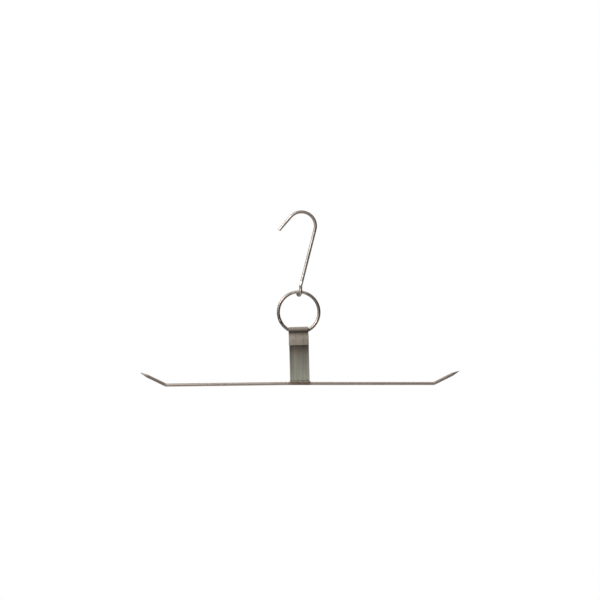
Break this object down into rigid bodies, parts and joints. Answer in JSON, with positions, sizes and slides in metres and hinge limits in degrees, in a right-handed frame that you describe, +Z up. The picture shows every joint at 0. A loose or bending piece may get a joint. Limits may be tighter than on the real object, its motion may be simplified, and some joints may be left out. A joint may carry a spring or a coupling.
{
  "type": "meat hook",
  "caption": "Hanging meat hook: a wire hook and loose ring carry a folded steel strap with a welded round cross bar, whose upturned pointed ends hold the meat.",
  "frame": {"origin": "crotch of the hook, the inner top of its big bend, where it rests on the rail", "axes": "+X along the cross bar, away from the hook's tip; +Y from the folded tab of the strap to its back; +Z up"},
  "size_m": [0.4079, 0.013, 0.2257],
  "materials": {
    "hook_wire": "bare drawn stainless wire, dull shine",
    "ring_wire": "bare drawn stainless wire, dull shine",
    "strap_steel": "stainless strip, brushed along its length",
    "bar_rod": "bare drawn stainless rod, ground points",
    "weld_metal": "as-welded bead, wire brushed"
  },
  "bodies": {
    "hook_body": {"hook": "hook_wire"},
    "ring_body": {"ring": "ring_wire", "ring_weld": "weld_metal"},
    "strap_body": {"strap": "strap_steel", "spot_welds": "weld_metal", "cross_bar": "bar_rod", "bar_weld_front": "weld_metal", "bar_weld_back": "weld_metal"}
  },
  "joints": [
    {"name": "ring_swing", "type": "hinge", "parent": "hook_body", "child": "ring_body", "pos_m": [-0.0035, 0, -0.10042], "axis": [1, 0, 0], "range_deg": [-90, 90]},
    {"name": "strap_swing", "type": "hinge", "parent": "ring_body", "child": "strap_body", "pos_m": [-0.0035, 0, -0.15066], "axis": [0.9997, 0, 0.0244], "range_deg": [-120, 120]}
  ]
}
